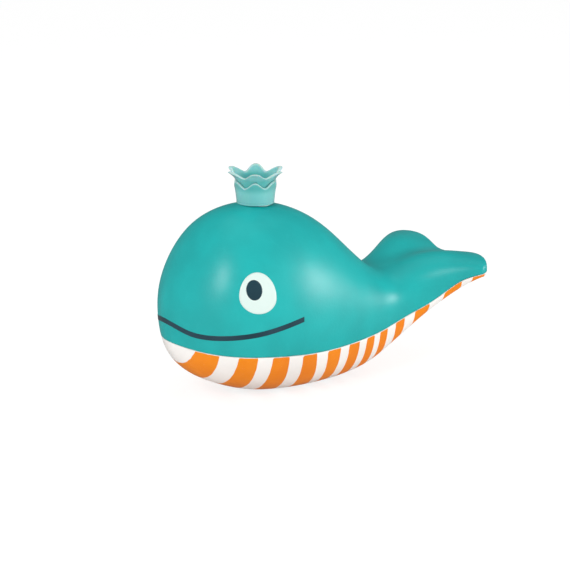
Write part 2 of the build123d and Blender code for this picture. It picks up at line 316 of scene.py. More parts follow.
@dataclass(frozen=True)
class Finish:
    """What every finish has: two tones, a gloss, a grain and wear."""

    name: str
    tone_a: Tint
    tone_b: Tint
    roughness: float = 0.4
    rough_swing: float = 0.06
    grain_scale: float = 900.0
    grain_height: float = 0.00004
    wave_share: float = 0.6
    wear: float = 0.3
    wear_tone: Tint = Tint.TEAL_PALE
    wear_share: float = 0.35
    wear_swing: float = 1.5
    coat: float = 0.0
    coat_roughness: float = 0.2
    transmission: float = 0.0
    ior: float = 1.5
    specular: float = 0.5
    subsurface: float = 0.0
    subsurface_scale: float = 0.004

    def start(
        self, effects: Effects,
    ) -> tuple[bpy.types.Material, Graph, bpy.types.Node, bpy.types.NodeSocket]:
        """Makes the material with its grain, drift and wear wired in.

        Args:
            effects: the shared node groups.

        Returns:
            The material, its graph, its Principled node and the base colour's socket.
        """
        material = bpy.data.materials.new(self.name)
        g = Graph.fresh(material)
        output = g.add("ShaderNodeOutputMaterial")
        shader = g.add("ShaderNodeBsdfPrincipled")
        g.join(shader.outputs["BSDF"], output.inputs["Surface"])
        place = g.add("ShaderNodeTexCoord").outputs["Object"]
        drift = self._group(g, effects.drift, place)
        wear = self._group(g, effects.wear, place)
        wear.inputs["Amount"].default_value = self.wear
        grain = self._group(g, effects.grain, place)
        grain.inputs["Grain"].default_value = self.grain_scale
        grain.inputs["Wave share"].default_value = self.wave_share
        bump = g.add("ShaderNodeBump")
        bump.inputs["Strength"].default_value = 1.0
        bump.inputs["Distance"].default_value = self.grain_height
        g.join(grain.outputs["Height"], bump.inputs["Height"])
        g.join(bump.outputs["Normal"], shader.inputs["Normal"])
        tone = g.mix(drift.outputs["Tone"], self.tone_a.value, self.tone_b.value)
        worn = g.maths("MULTIPLY", wear.outputs["Mask"], self.wear_share)
        colour = g.mix(worn, tone, self.wear_tone.value)
        swing = g.maths("MULTIPLY", wear.outputs["Mask"], self.rough_swing * self.wear_swing)
        tone_swing = g.maths("MULTIPLY_ADD", drift.outputs["Tone"], self.rough_swing, self.roughness)
        g.join(g.maths("ADD", tone_swing, swing, clamp=True), shader.inputs["Roughness"])
        plain = {
            "Coat Weight": self.coat, "Coat Roughness": self.coat_roughness, "IOR": self.ior,
            "Specular IOR Level": self.specular, "Transmission Weight": self.transmission,
            "Subsurface Weight": self.subsurface, "Subsurface Scale": self.subsurface_scale,
        }
        for label, value in plain.items():
            shader.inputs[label].default_value = value
        return material, g, shader, colour

    @staticmethod
    def _group(g: Graph, tree: bpy.types.NodeTree, place: bpy.types.NodeSocket) -> bpy.types.Node:
        """Places a shared group and feeds its coordinates.

        Args:
            g: the graph it goes into.
            tree: the group.
            place: the coordinates' socket.

        Returns:
            The group's node.
        """
        node = g.add("ShaderNodeGroup", node_tree=tree)
        g.join(place, node.inputs["Place"])
        return node

    def make(self, effects: Effects) -> bpy.types.Material:
        """Builds the plain form of the finish.

        Args:
            effects: the shared node groups.

        Returns:
            The material.
        """
        material, g, shader, colour = self.start(effects)
        g.join(colour, shader.inputs["Base Color"])
        return material


@dataclass(frozen=True)
class Stripe:
    """One printed stripe: its two edges at the seam, and how far each runs back further down."""

    start: float
    end: float
    start_sweep: float
    end_sweep: float
    swept_depth: float = 20.0

    def inside(self, x: np.ndarray, depth: np.ndarray) -> np.ndarray:
        """How far points lie inside the stripe, negative outside.

        Args:
            x: place along the whale, in millimetres.
            depth: depth under the seam, in millimetres.

        Returns:
            Distances in millimetres.
        """
        share = np.clip(depth / self.swept_depth, 0.0, 1.1)
        return np.minimum(x - self.start - self.start_sweep * share, self.end + self.end_sweep * share - x)


STRIPES = (
    Stripe(-80.5, -72.0, -1.8, 1.0),
    Stripe(-63.8, -54.5, 0.8, 1.9),
    Stripe(-46.7, -37.6, 1.6, 2.8),
    Stripe(-29.7, -21.2, 3.0, 5.0),
    Stripe(-13.8, -4.7, 3.7, 1.9),
    Stripe(1.3, 8.8, 1.5, 1.5),
    Stripe(14.0, 19.8, 1.2, 1.2),
    Stripe(23.9, 29.5, 1.0, 1.0),
    Stripe(35.3, 41.1, 0.5, 0.5),
    Stripe(47.1, 54.7, 0.0, 0.0),
    Stripe(61.4, 69.0, 0.0, 0.0),
    Stripe(73.7, 80.0, 0.0, 0.0),
)
STRIPE_MARGIN = 0.5


@dataclass(frozen=True)
class StripedVinyl(Finish):
    """White vinyl with stripes printed across the belly up to just under the seam."""

    edge: float = 0.1
    wobble: float = 0.5
    wobble_scale: float = 260.0
    speck_scale: float = 1400.0
    speck_share: float = 0.06
    tone_scale: float = 45.0

    def make(self, effects: Effects) -> bpy.types.Material:
        """Builds the striped finish.

        Args:
            effects: the shared node groups.

        Returns:
            The material.
        """
        material, g, shader, colour = self.start(effects)
        place = g.add("ShaderNodeTexCoord").outputs["Object"]
        inside = g.add("ShaderNodeAttribute", attribute_name="stripe").outputs["Fac"]
        ragged = g.maths("SUBTRACT", g.noise(place, self.wobble_scale), 0.5)
        printed = g.between(g.maths("MULTIPLY_ADD", ragged, self.wobble, inside), -self.edge, self.edge)
        speck = g.between(g.noise(place, self.speck_scale, 2.0), 0.28, 0.36)
        cover = g.maths("MULTIPLY_ADD", speck, self.speck_share, 1.0 - self.speck_share)
        covered = g.maths("MULTIPLY", printed, cover)
        tone = g.between(g.noise(place, self.tone_scale), 0.35, 0.65)
        orange = g.mix(tone, Tint.STRIPE_ORANGE.value, Tint.STRIPE_DEEP.value)
        g.join(g.mix(covered, colour, orange), shader.inputs["Base Color"])
        return material


@dataclass(frozen=True)
class ClearPlastic(Finish):
    """Translucent tinted plastic, with a painted highlight seen edge on and along its rim, and a painted
    shade band over the heights where cup and collar stand together.
    """

    # The painted highlight tone along the rim and seen edge on, then the painted shade tone for a band of
    # height, with their shares.
    rim: Tint = Tint.CROWN_HIGHLIGHT_AND_WEAR
    painted_shade: Tint = Tint.CROWN_PAINTED_SHADE
    painted_shade_share: float = 0.65
    edge_highlight_blend: float = 0.35
    edge_highlight_share: float = 0.45
    rim_highlight_share: float = 0.9

    def make(self, effects: Effects) -> bpy.types.Material:
        """Builds the translucent finish.

        Args:
            effects: the shared node groups.

        Returns:
            The material.
        """
        material, g, shader, colour = self.start(effects)
        # Painted highlight: paler towards edge on, from the Layer Weight node.
        edge = g.add("ShaderNodeLayerWeight")
        edge.inputs["Blend"].default_value = self.edge_highlight_blend
        edge_on_highlight = g.maths("MULTIPLY", edge.outputs["Facing"], self.edge_highlight_share)
        # Painted highlight along the rim, from the rim attribute that the crown writes.
        rim = g.add("ShaderNodeAttribute", attribute_name="rim").outputs["Fac"]
        share = g.maths("MAXIMUM", edge_on_highlight, g.maths("MULTIPLY", rim, self.rim_highlight_share))
        # Painted shade: darker colour over the band of height that the crown writes.
        painted_shade_band = g.add("ShaderNodeAttribute", attribute_name="painted_shade_band").outputs["Fac"]
        body = g.mix(g.maths("MULTIPLY", painted_shade_band, self.painted_shade_share), colour, self.painted_shade.value)
        g.join(g.mix(share, body, self.rim.value), shader.inputs["Base Color"])
        return material


@dataclass
class Finishes:
    """Every material of the toy, made once."""

    effects: Effects = field(default_factory=Effects)
    made: dict[str, bpy.types.Material] = field(default_factory=dict)

    def get(self, finish: Finish) -> bpy.types.Material:
        """Gives the material of a finish, building it the first time.

        Args:
            finish: the finish.

        Returns:
            Its material.
        """
        if finish.name not in self.made:
            self.made[finish.name] = finish.make(self.effects)
        return self.made[finish.name]


TEAL_VINYL = Finish(
    "teal_vinyl", Tint.TEAL, Tint.TEAL_DEEP, roughness=0.34, grain_height=0.00005, specular=0.42)
WHITE_VINYL = StripedVinyl(
    "striped_vinyl", Tint.BELLY_WHITE, Tint.BELLY_SHADE, roughness=0.34, grain_height=0.00005, wear=0.25,
    wear_tone=Tint.BELLY_SHADE, specular=0.3)
CROWN_PLASTIC = ClearPlastic(
    "clear_teal", Tint.CROWN_TEAL, Tint.CROWN_TEAL, roughness=0.16, grain_height=0.00001, wear=0.2,
    wear_tone=Tint.CROWN_HIGHLIGHT_AND_WEAR, transmission=0.3, ior=1.4, subsurface=0.15, subsurface_scale=0.002)
EYE_PRINT = Finish(
    "white_ink", Tint.EYE_WHITE, Tint.EYE_WHITE, roughness=0.3, grain_height=0.00002, wear=0.15,
    wear_tone=Tint.BELLY_SHADE, coat=0.2)
DARK_PRINT = Finish(
    "dark_ink", Tint.INK_SLATE, Tint.INK_BLUE, roughness=0.3, grain_height=0.00002, wear=0.2,
    wear_tone=Tint.INK_BLUE, coat=0.2)
SLEEVE_PLASTIC = Finish(
    "white_plastic", Tint.SLEEVE_WHITE, Tint.BELLY_SHADE, roughness=0.28, grain_height=0.00001, wear=0.2,
    wear_tone=Tint.BELLY_SHADE)
TUBE_PLASTIC = Finish(
    "tube_plastic", Tint.TUBE_MILK, Tint.SLEEVE_WHITE, roughness=0.45, grain_height=0.00002, wear=0.2,
    wear_tone=Tint.BELLY_SHADE, subsurface=0.2)
SEAL_RUBBER = Finish(
    "seal_rubber", Tint.SEAL_BLACK, Tint.SEAL_BLACK, roughness=0.55, grain_height=0.00002, wear=0.2,
    wear_tone=Tint.INK_BLUE)


# Mesh building

TINY = 1e-6
MERGE_REACH = 2e-6
FLAT_EDGE = 1e-7
CURVE_POINTS = 400


def mesh_object(name: str, vertices: np.ndarray, faces: Quads) -> bpy.types.Object:
    """Makes a smooth mesh object with doubled points merged.

    Args:
        name: the object's name.
        vertices: points in metres.
        faces: corner indices.

    Returns:
        The linked object.
    """
    mesh = bpy.data.meshes.new(name)
    mesh.from_pydata([tuple(v) for v in vertices], [], faces)
    bm = bmesh.new()
    bm.from_mesh(mesh)
    bmesh.ops.remove_doubles(bm, verts=bm.verts, dist=MERGE_REACH)
    bmesh.ops.dissolve_degenerate(bm, edges=bm.edges, dist=FLAT_EDGE)
    bmesh.ops.recalc_face_normals(bm, faces=bm.faces)
    for face in bm.faces:
        face.smooth = True
    bm.to_mesh(mesh)
    bm.free()
    piece = bpy.data.objects.new(name, mesh)
    bpy.context.scene.collection.objects.link(piece)
    return piece


def grid_faces(rows: int, columns: int, wrap: bool = False) -> Quads:
    """Quads over a grid of points stored row by row.

    Args:
        rows: number of rows.
        columns: points in each row.
        wrap: whether each row closes on itself.

    Returns:
        The quads.
    """
    faces = []
    for row in range(rows - 1):
        for column in range(columns if wrap else columns - 1):
            a = row * columns + column
            b = row * columns + (column + 1) % columns
            faces.append((a, b, b + columns, a + columns))
    return faces


def crease(piece: bpy.types.Object, degrees: float) -> None:
    """Marks edges sharper than an angle, so that shading breaks there.

    Args:
        piece: the object.
        degrees: the angle.
    """
    bm = bmesh.new()
    bm.from_mesh(piece.data)
    limit = math.radians(degrees)
    for edge in bm.edges:
        edge.smooth = len(edge.link_faces) == 2 and edge.calc_face_angle(0.0) < limit
    bm.to_mesh(piece.data)
    bm.free()


def points_of(piece: bpy.types.Object) -> np.ndarray:
    """Reads the points of a piece.

    Args:
        piece: the object.

    Returns:
        Its points in millimetres.
    """
    flat = np.zeros(len(piece.data.vertices) * 3)
    piece.data.vertices.foreach_get("co", flat)
    return flat.reshape(-1, 3) / MM


def write_values(piece: bpy.types.Object, name: str, values: np.ndarray) -> None:
    """Writes a number on each point of a piece, for its finish to read.

    Args:
        piece: the object.
        name: the attribute's name.
        values: a number for each point.
    """
    layer = piece.data.attributes.new(name, "FLOAT", "POINT")
    layer.data.foreach_set("value", values.astype(np.float32))


def eased(x: np.ndarray, start: float, end: float) -> np.ndarray:
    """A share that goes smoothly from 0 at start to 1 at end."""
    share = np.clip((x - start) / (end - start), 0, 1)
    return share * share * (3 - 2 * share)


def cubic(
    t: np.ndarray, start: np.ndarray, end: np.ndarray, way_in: np.ndarray, way_out: np.ndarray,
) -> np.ndarray:
    """Points on a cubic between two points.

    Args:
        t: shares of the way, 0 to 1.
        start: the first point.
        end: the last point.
        way_in: the slope at the first point.
        way_out: the slope at the last point.

    Returns:
        The points.
    """
    return (
        (2 * t**3 - 3 * t**2 + 1) * start + (t**3 - 2 * t**2 + t) * way_in + (3 * t**2 - 2 * t**3) * end
        + (t**3 - t**2) * way_out)


@dataclass
class BodyLine:
    """A smooth line through design points, read as a height or a width at x."""

    points: Pairs
    start_way: Pair | None = None
    end_way: Pair | None = None
    sample_count: int = 4000
    samples: np.ndarray = field(init=False)

    def __post_init__(self) -> None:
        """Fits the line once."""
        self.samples = self._fit(np.array(self.points, float))

    def _fit(self, points: np.ndarray) -> np.ndarray:
        """Fits a cubic through the points, spaced by chord.

        Args:
            points: the design points.

        Returns:
            Dense samples of the line.
        """
        place = np.concatenate([[0.0], np.cumsum(np.linalg.norm(np.diff(points, axis=0), axis=1))])
        count = len(points)
        step = np.diff(place)
        left = np.zeros((count, count))
        right = np.zeros((count, 2))
        for i in range(1, count - 1):
            left[i, i - 1] = step[i]
            left[i, i] = 2 * (step[i - 1] + step[i])
            left[i, i + 1] = step[i - 1]
            before = (points[i] - points[i - 1]) / step[i - 1]
            after = (points[i + 1] - points[i]) / step[i]
            right[i] = 3 * (step[i] * before + step[i - 1] * after)
        for row, way, beyond in ((0, self.start_way, 1), (count - 1, self.end_way, count - 2)):
            left[row, row] = 1.0
            if way is None:
                left[row, beyond] = 1.0
                right[row] = 2 * (points[beyond] - points[row]) / (place[beyond] - place[row])
            else:
                right[row] = self._end_slope(points, place, row, np.array(way, float))
        slopes = np.linalg.solve(left, right)
        at = np.linspace(0, place[-1], self.sample_count)
        index = np.clip(np.searchsorted(place, at, side="right") - 1, 0, count - 2)
        span = step[index][:, None]
        t = (at - place[index])[:, None] / span
        return cubic(t, points[index], points[index + 1], span * slopes[index], span * slopes[index + 1])

    @staticmethod
    def _end_slope(points: np.ndarray, place: np.ndarray, row: int, way: np.ndarray) -> np.ndarray:
        """The slope at an end: the asked way, as long as a parabola through three points has it.

        Args:
            points: the design points.
            place: their places along the line.
            row: the end's index.
            way: the way that the line leaves there.

        Returns:
            The slope.
        """
        near = [0, 1, 2] if row == 0 else [row, row - 1, row - 2]
        t0, t1, t2 = place[near]
        p0, p1, p2 = points[near]
        slope = (
            p0 * (2 * t0 - t1 - t2) / ((t0 - t1) * (t0 - t2)) + p1 * (t0 - t2) / ((t1 - t0) * (t1 - t2))
            + p2 * (t0 - t1) / ((t2 - t0) * (t2 - t1)))
        return way / np.linalg.norm(way) * np.linalg.norm(slope)

    def at(self, x: np.ndarray | float) -> np.ndarray:
        """The line's second coordinate at x."""
        return np.interp(x, self.samples[:, 0], self.samples[:, 1])


@dataclass
class WhaleForm:
    """The outer surface of the whale, in millimetres."""

    nose_x: float = -87.6
    back: BodyLine = field(default_factory=lambda: BodyLine((
        (-87.6, 46.0), (-85.2, 59.8), (-76.7, 77.0), (-63.0, 92.2), (-46.5, 98.4), (-26.0, 97.8),
        (-2.5, 87.8), (23.5, 64.2), (36.0, 56.4), (48.0, 57.8), (60.0, 60.6), (70.0, 61.0), (80.0, 59.8),
        (94.0, 57.0)), (0, 1), (1, -0.2)))
    belly: BodyLine = field(default_factory=lambda: BodyLine((
        (-87.6, 46.0), (-85.2, 26.6), (-76.7, 15.2), (-63.0, 7.2), (-46.5, 1.6), (-26.0, -0.8), (-2.5, -0.8),
        (23.5, 4.0), (36.0, 11.8), (48.0, 22.0), (60.0, 33.6), (70.0, 43.0), (80.0, 50.6), (94.0, 54.6)),
        (0, -1), (1, 0.2)))
    half_width: BodyLine = field(default_factory=lambda: BodyLine((
        (-87.6, 0.0), (-85.2, 12.8), (-76.7, 28.0), (-63.0, 37.8), (-46.5, 41.6), (-26.0, 42.0), (-2.5, 37.4),
        (23.5, 30.2), (36.0, 27.2), (48.0, 28.0), (60.0, 33.4), (70.0, 39.8), (80.0, 45.2), (94.0, 47.5)),
        (0, 1), (1, 0.1)))
    widest: BodyLine = field(default_factory=lambda: BodyLine((
        (-87.6, 46.0), (-60.0, 43.0), (-26.0, 38.5), (5.0, 35.5), (30.0, 36.0), (48.0, 40.5), (60.0, 47.5),
        (70.0, 54.0), (80.0, 57.0), (94.0, 56.3))))
    seam: BodyLine = field(default_factory=lambda: BodyLine((
        (-95.0, 34.6), (-80.0, 31.0), (-60.0, 28.7), (-35.0, 26.9), (-8.0, 26.0), (13.0, 27.0), (31.0, 29.8),
        (46.0, 35.3), (54.0, 39.6), (62.0, 46.4), (69.0, 52.4), (77.0, 55.6), (96.0, 57.0))))
    dish: float = 5.2
    dish_share: float = 0.42
    dished: Pair = (36.0, 66.0)
    tail_x: float = 66.0
    tip: Pair = (77.0, 48.0)
    tip_way: Pair = (-1, 0.5)
    lobe: Pair = (87.6, 26.0)
    notch_x: float = 84.0
    edge_depth: float = 2.4
    tip_height: float = 6.0
    tip_radius: float = 2.2
    head_power: float = 2.1
    tail_power: float = 2.8
    squared: Pair = (10.0, 50.0)
    probe: float = 0.05

    def fullness(self, x: np.ndarray) -> np.ndarray:
        """The superellipse power of the section at x."""
        return self.head_power + (self.tail_power - self.head_power) * eased(x, *self.squared)

    def surface(self, x: np.ndarray, across: np.ndarray, rise: np.ndarray, upper: bool) -> np.ndarray:
        """Points on the skin.

        Args:
            x: stations.
            across: share of the half width, -1 to 1.
            rise: share of the height above or below the widest line, 0 to 1.
            upper: whether the points are above the widest line.

        Returns:
            Points in millimetres, last axis x, y, z.
        """
        middle = self.widest.at(x)
        if upper:
            dish = self.dish * eased(x, *self.dished)
            edge = np.exp(-((1 / self.dish_share) ** 2))
            hollow = dish * (np.exp(-((across / self.dish_share) ** 2)) - edge)
            z = middle + (self.back.at(x) + dish - middle) * rise - hollow
        else:
            z = np.maximum(middle - (middle - self.belly.at(x)) * rise, 0.0)
        return np.stack([x, across * self.half_width.at(x), z], axis=-1)

    def rear_outline(self) -> np.ndarray:
        """The flukes' rear edge in plan, from the middle to the side of the right-hand tip, as x, y."""
        middle = self._curve((self.notch_x, 0.0), self.lobe, (0, 1), (0, 1))
        return np.concatenate([middle, self._curve(self.lobe, self.tip, (0, 1), self.tip_way)[1:]])

    @staticmethod
    def _curve(start: Pair, end: Pair, way_in: Pair, way_out: Pair) -> np.ndarray:
        """A cubic in plan whose slopes at the ends are as long as its chord.

        Args:
            start: the first point.
            end: the last point.
            way_in: the way that it leaves the first point.
            way_out: the way that it reaches the last point.

        Returns:
            Points along it.
        """
        p0, p1 = np.array(start), np.array(end)
        chord = np.linalg.norm(p1 - p0)
        m0, m1 = (np.array(way) / np.linalg.norm(way) * chord for way in (way_in, way_out))
        return cubic(np.linspace(0, 1, CURVE_POINTS)[:, None], p0, p1, m0, m1)

    def rear_edge(self, across: np.ndarray) -> np.ndarray:
        """Where each share of the half width meets the rear edge.

        Args:
            across: shares of the half width, 0 to 1.

        Returns:
            The edge's x for each share.
        """
        outline = self.rear_outline()
        shares = outline[:, 1] / self.half_width.at(outline[:, 0])
        last = np.argmax(shares >= 1.0) if np.any(shares >= 1.0) else len(shares) - 1
        tip_share = self.tip_radius / self.tip[1]
        corner = np.clip((across - 1.0 + tip_share) / tip_share, 0, 1)
        rounding = self.tip_radius * (1.0 - np.sqrt(1.0 - corner**2))
        return np.interp(across, shares[: last + 1], outline[: last + 1, 0]) - rounding

    def _reach(self, x: np.ndarray, z: np.ndarray) -> tuple[np.ndarray, np.ndarray]:
        """How points stand over or under the widest line.

        Args:
            x: their places along the whale.
            z: their heights.

        Returns:
            Their distance from that line, and the skin's distance on the same side.
        """
        middle = self.widest.at(x)
        return np.abs(z - middle), np.where(z > middle, self.back.at(x) - middle, middle - self.belly.at(x))

    def inside(self, points: np.ndarray) -> np.ndarray:
        """How far points of the head lie inside or outside the skin.

        Args:
            points: points in millimetres.

        Returns:
            Numbers below 1 inside and above 1 outside.
        """
        x, y, z = points[..., 0], points[..., 1], points[..., 2]
        power = self.fullness(x)
        away, reach = self._reach(x, z)
        wide = np.maximum(self.half_width.at(x), TINY)
        return (np.abs(y) / wide) ** power + (away / np.maximum(reach, TINY)) ** power

    def beside(self, x: np.ndarray, z: np.ndarray, side: int) -> np.ndarray:
        """Points on one side of the head.

        Args:
            x: their places along the whale.
            z: their heights.
            side: the sign of Y.

        Returns:
            The points.
        """
        power = self.fullness(x)
        away, reach = self._reach(x, z)
        share = np.clip(1 - (away / reach) ** power, 0, 1) ** (1 / power)
        return np.stack([x, side * self.half_width.at(x) * share, z], axis=-1)

    def lifted(self, points: np.ndarray, height: float) -> np.ndarray:
        """Moves points on the head out along the skin's normal.

        Args:
            points: points on the skin.
            height: distance in millimetres.

        Returns:
            The moved points.
        """
        slope = np.zeros_like(points)
        for axis in range(3):
            nudge = np.zeros(3)
            nudge[axis] = self.probe
            slope[..., axis] = self.inside(points + nudge) - self.inside(points - nudge)
        return points + height * slope / np.linalg.norm(slope, axis=-1, keepdims=True)


@dataclass
class Body:
    """The two vinyl shells, as one skin parted at the seam."""

    form: WhaleForm
    finishes: Finishes
    rows: int = 150
    tail_rows: int = 34
    columns: int = 121
    rim_rows: int = 10
    row_growth: float = 0.55
    nose_crowding: float = 0.75
    rim_roundness: float = 0.8
    seam_gap: float = 0.4
    on_seam: float = 1e-5
    wall: float = 2.2
    tail_thinning: float = 0.7
    thinned: Pair = (46.0, 74.0)
    pieces: dict[str, bpy.types.Object] = field(default_factory=dict)

    def build(self) -> None:
        """Builds the back and the belly from the whole skin."""
        vertices, faces = self._skin()
        for name, gap, keep_above in (("back_skin", 0.0, True), ("belly_skin", self.seam_gap, False)):
            piece = mesh_object(name, vertices * MM, faces)
            self._part_at_seam(piece, gap, keep_above)
            self._mark(piece)
            self._thicken(piece)
            self.pieces[name] = piece

    def _shares(self, power: np.ndarray | float) -> tuple[np.ndarray, np.ndarray]:
        """Where the columns lie on a half ring.

        Args:
            power: the section's superellipse power.

        Returns:
            Shares of the half width, and shares of the rise from the widest line.
        """
        angle = np.linspace(np.pi, 0, self.columns)
        across = np.sign(np.cos(angle)) * np.abs(np.cos(angle)) ** (2 / power)
        return across, np.abs(np.sin(angle)) ** (2 / power)

    def _tail_power(self) -> float:
        """The section's power where the flukes begin."""
        return self.form.fullness(np.array([self.form.tail_x]))[0]

    def _rings(self, upper: bool) -> np.ndarray:
        """Half rings of the skin from nose to the flukes' rear edge.

        Args:
            upper: the half above the widest line, or the one below.

        Returns:
            Points, rows by columns by 3.
        """
        form = self.form
        share = np.linspace(0, 1, self.rows)
        spread = self.row_growth * share**2 + (1 - self.row_growth) * share
        spread *= 1 - self.nose_crowding * (1 - share) ** 6
        body_x = form.nose_x + (form.tail_x - form.nose_x) * spread
        tail_across, _ = self._shares(self._tail_power())
        rear = form.rear_edge(np.abs(tail_across)) - self._rim_depth()
        tail_share = np.linspace(0, 1, self.tail_rows + 1)[1:, None]
        tail_x = form.tail_x + (rear[None, :] - form.tail_x) * tail_share
        x = np.concatenate([np.repeat(body_x[:, None], self.columns, axis=1), tail_x])
        across, rise = self._shares(form.fullness(x))
        return form.surface(x, across, rise, upper)

    def _rim_depth(self) -> np.ndarray:
        """How far the top and bottom stop short of the rear edge in each column, for its rounding."""
        _, rise = self._shares(self._tail_power())
        return np.minimum(self.form.edge_depth, self.form.tip_height * rise)

    def _rim(self, top: np.ndarray, bottom: np.ndarray) -> np.ndarray:
        """The rounded rear edge between the last upper and lower rows.

        Args:
            top: the last upper row.
            bottom: the last lower row.

        Returns:
            Rows of points from top to bottom, the ends left out.
        """
        depth = self._rim_depth()
        middle = (top + bottom) / 2
        half = (top[:, 2] - bottom[:, 2]) / 2
        rows = []
        for phase in np.linspace(np.pi / 2, -np.pi / 2, self.rim_rows + 2)[1:-1]:
            row = middle.copy()
            row[:, 0] += depth * np.cos(phase) ** self.rim_roundness
            row[:, 2] += half * np.sign(np.sin(phase)) * np.abs(np.sin(phase)) ** self.rim_roundness
            rows.append(row)
        return np.array(rows)

    def _skin(self) -> tuple[np.ndarray, Quads]:
        """The whole outer skin.

        Returns:
            Points in millimetres, and quads.
        """
        top = self._rings(True)
        bottom = self._rings(False)
        rim = self._rim(top[-1], bottom[-1])
        strip = np.concatenate([top, rim, bottom[::-1]])
        return strip.reshape(-1, 3), grid_faces(len(strip), self.columns)

    def _height_over_seam(self, points: np.ndarray) -> np.ndarray:
        """Height of points over the seam line."""
        return points[:, 2] - self.form.seam.at(points[:, 0])

    def _part_at_seam(self, piece: bpy.types.Object, gap: float, keep_above: bool) -> None:
        """Cuts the skin along the seam and keeps one side.

        Args:
            piece: the whole skin.
            gap: how far under the seam line the cut runs, in millimetres.
            keep_above: which side stays.
        """
        bm = bmesh.new()
        bm.from_mesh(piece.data)
        points = np.array([v.co for v in bm.verts]) / MM
        over = {v: h for v, h in zip(bm.verts, self._height_over_seam(points) + gap)}
        fresh = []
        for edge in list(bm.edges):
            a, b = edge.verts
            if over[a] * over[b] < 0 and min(abs(over[a]), abs(over[b])) > self.on_seam:
                _, vertex = bmesh.utils.edge_split(edge, a, over[a] / (over[a] - over[b]))
                over[vertex] = 0.0
                fresh.append(vertex)
        bmesh.ops.connect_verts(bm, verts=fresh)
        sign = 1 if keep_above else -1
        gone = [f for f in bm.faces if sum(over[v] for v in f.verts) * sign < 0]
        bmesh.ops.delete(bm, geom=gone, context="FACES")
        bm.to_mesh(piece.data)
        bm.free()

    def _mark(self, piece: bpy.types.Object) -> None:
        """Writes on each point how far it lies inside a stripe, and how thick the wall is there.

        Args:
            piece: one side of the skin.
        """
        points = points_of(piece)
        x = points[:, 0]
        depth = -self._height_over_seam(points)
        inside = np.max([stripe.inside(x, depth) for stripe in STRIPES], axis=0)
        write_values(piece, "stripe", np.minimum(inside, depth - STRIPE_MARGIN))
        walls = piece.vertex_groups.new(name="wall")
        for index, share in enumerate(1.0 - self.tail_thinning * eased(x, *self.thinned)):
            walls.add([index], float(share), "REPLACE")

    def _thicken(self, piece: bpy.types.Object) -> None:
        """Gives the skin its wall, inwards.

        Args:
            piece: one side of the skin.
        """
        solid = piece.modifiers.new("wall", "SOLIDIFY")
        solid.thickness = self.wall * MM
        solid.offset = -1.0
        solid.vertex_group = "wall"
        solid.use_even_offset = False

    def dress(self) -> None:
        """Gives the shells their finishes and ties the back to the frame; the belly is baked in place,
        unparented.
        """
        back, belly = self.pieces["back_skin"], self.pieces["belly_skin"]
        back.data.materials.append(self.finishes.get(TEAL_VINYL))
        belly.data.materials.append(self.finishes.get(WHITE_VINYL))
        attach(back, "back")
        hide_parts("back_shell")
        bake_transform(belly)
        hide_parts("belly_shell")
        for name in self.pieces:
            log.info("body piece %s", name)


